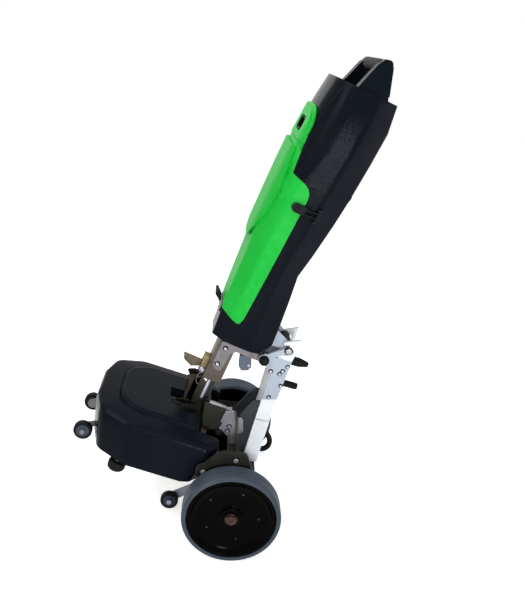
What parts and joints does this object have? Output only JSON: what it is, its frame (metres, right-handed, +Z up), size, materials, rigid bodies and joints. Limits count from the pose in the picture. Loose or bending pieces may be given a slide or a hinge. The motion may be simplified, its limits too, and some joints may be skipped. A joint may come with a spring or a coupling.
{
  "type": "high speed floor burnisher",
  "caption": "Upright floor burnisher on two large wheels: leaning body with lift-out battery box and loop handle, and a tilting polishing deck on a sliding column.",
  "frame": {"origin": "on the floor, below the middle of the machine's overall length and width", "axes": "+X to the rear, where the operator stands; +Y to the machine's right; +Z up"},
  "size_m": [0.793, 0.54, 1.2031],
  "materials": {
    "white_paint": "satin white powder coat",
    "plate_grey": "satin light grey paint",
    "dark_paint": "satin dark paint",
    "steel": "brushed stainless",
    "chrome": "bright rod",
    "zinc": "yellow zinc plate",
    "case_black": "fine grained black moulding",
    "case_green": "satin bright green moulding",
    "rubber_black": "matt black rubber",
    "tyre_grey": "grey rubber",
    "wheel_black": "glossy black moulding",
    "pad_fibre": "open polishing fibre",
    "motor_cast": "dark cast aluminium",
    "bush_plastic": "natural nylon",
    "button_green": "gloss green"
  },
  "bodies": {
    "frame": {"mast": "white_paint", "mast_plates": "plate_grey", "mast_gussets": "dark_paint", "frame_screws": "steel", "chassis_beam": "dark_paint", "chassis_plates": "dark_paint", "wheel_axle": "steel", "axle_nuts": "zinc", "support_bracket": "plate_grey", "link_channel": "steel", "tie_loop": "rubber_black", "tie_rod": "chrome", "column_post": "steel", "guide_bush": "wheel_black", "column_brackets": "steel", "pivot_pin": "steel", "pivot_caps": "rubber_black", "tilt_switch": "motor_cast", "lever_block": "zinc", "lower_housing": "case_black", "upper_hood": "case_black", "handle_grip": "case_black", "motor_controller": "motor_cast", "control_panel": "wheel_black", "stop_bracket": "plate_grey", "stop_roller": "rubber_black"},
    "left_wheel": {"left_tyre": "tyre_grey", "left_wheel_disc": "wheel_black", "left_wheel_bush": "bush_plastic"},
    "right_wheel": {"right_tyre": "tyre_grey", "right_wheel_disc": "wheel_black", "right_wheel_bush": "bush_plastic"},
    "support_caster": {"support_wheel": "tyre_grey"},
    "lift_slide": {"lift_tube": "dark_paint", "lift_rod": "chrome", "lift_clevis": "steel", "lift_guide": "steel"},
    "deck": {"deck_cover": "case_black", "deck_plate": "steel", "deck_brackets": "steel", "deck_pin": "steel", "drive_motor": "motor_cast", "spindle_bearing": "steel", "nose_brackets": "plate_grey", "corner_studs": "steel"},
    "nose_left": {"nose_wheel_left": "tyre_grey"},
    "nose_right": {"nose_wheel_right": "tyre_grey"},
    "corner_left": {"corner_roller_left": "rubber_black"},
    "corner_right": {"corner_roller_right": "rubber_black"},
    "pad_drive": {"pad_driver": "wheel_black", "floor_pad": "pad_fibre"},
    "lever": {"lift_lever": "zinc"},
    "upper_pedal": {"release_pedal": "rubber_black"},
    "second_pedal": {"lower_pedal": "rubber_black"},
    "battery": {"battery_box": "case_green"},
    "strap_left": {"latch_left": "rubber_black"},
    "strap_right": {"latch_right": "rubber_black"},
    "button": {"start_button": "button_green"}
  },
  "joints": [
    {"name": "left_wheel_spin", "type": "hinge", "parent": "frame", "child": "left_wheel", "pos_m": [0.02165, -0.241, 0.125], "axis": [0, 1, 0], "continuous": true},
    {"name": "right_wheel_spin", "type": "hinge", "parent": "frame", "child": "right_wheel", "pos_m": [0.02165, 0.241, 0.125], "axis": [0, 1, 0], "continuous": true},
    {"name": "support_wheel_spin", "type": "hinge", "parent": "frame", "child": "support_caster", "pos_m": [-0.15235, -0.045, 0.025], "axis": [0, 1, 0], "continuous": true},
    {"name": "head_lift", "type": "slide", "parent": "frame", "child": "lift_slide", "axis": [-0.3907, 0, -0.9205], "range_m": [0, 0.07]},
    {"name": "deck_tilt", "type": "hinge", "parent": "lift_slide", "child": "deck", "pos_m": [-0.06478, 0, 0.3116], "axis": [0, 1, 0], "range_deg": [-19.5, 5]},
    {"name": "nose_left_spin", "type": "hinge", "parent": "deck", "child": "nose_left", "pos_m": [-0.37154, -0.078, 0.27065], "axis": [0, 1, 0], "continuous": true},
    {"name": "corner_left_spin", "type": "hinge", "parent": "deck", "child": "corner_left", "pos_m": [-0.27172, -0.164, 0.22151], "axis": [0.3338, 0, 0.9426], "continuous": true},
    {"name": "nose_right_spin", "type": "hinge", "parent": "deck", "child": "nose_right", "pos_m": [-0.37154, 0.078, 0.27065], "axis": [0, 1, 0], "continuous": true},
    {"name": "corner_right_spin", "type": "hinge", "parent": "deck", "child": "corner_right", "pos_m": [-0.27172, 0.164, 0.22151], "axis": [0.3338, 0, 0.9426], "continuous": true},
    {"name": "pad_spin", "type": "hinge", "parent": "deck", "child": "pad_drive", "pos_m": [-0.2031, 0, 0.22055], "axis": [0.3338, 0, 0.9426], "continuous": true},
    {"name": "lever_lift", "type": "hinge", "parent": "frame", "child": "lever", "pos_m": [-0.05454, 0, 0.42784], "axis": [0, 1, 0], "range_deg": [0, 30]},
    {"name": "release_pedal_press", "type": "hinge", "parent": "frame", "child": "upper_pedal", "pos_m": [0.15765, 0, 0.444], "axis": [0, 1, 0], "range_deg": [0, 12], "stiffness_Nm_per_rad": 8, "springref_deg": -6.88},
    {"name": "lower_pedal_press", "type": "hinge", "parent": "frame", "child": "second_pedal", "pos_m": [0.13365, 0, 0.378], "axis": [0, 1, 0], "range_deg": [0, 12], "stiffness_Nm_per_rad": 8, "springref_deg": -6.88},
    {"name": "battery_tip", "type": "hinge", "parent": "frame", "child": "battery", "pos_m": [0.0028, 0, 0.61172], "axis": [0, 1, 0], "range_deg": [-20, 0]},
    {"name": "strap_left_open", "type": "hinge", "parent": "frame", "child": "strap_left", "pos_m": [0.22043, -0.13567, 0.86128], "axis": [0.4163, 0, 0.9092], "range_deg": [0, 60]},
    {"name": "strap_right_open", "type": "hinge", "parent": "frame", "child": "strap_right", "pos_m": [0.22043, 0.13567, 0.86128], "axis": [0.4163, 0, 0.9092], "range_deg": [-60, 0]},
    {"name": "start_button_press", "type": "slide", "parent": "frame", "child": "button", "axis": [-0.4163, 0, -0.9092], "range_m": [0, 0.003], "stiffness_N_per_m": 400, "springref_m": -0.002}
  ]
}
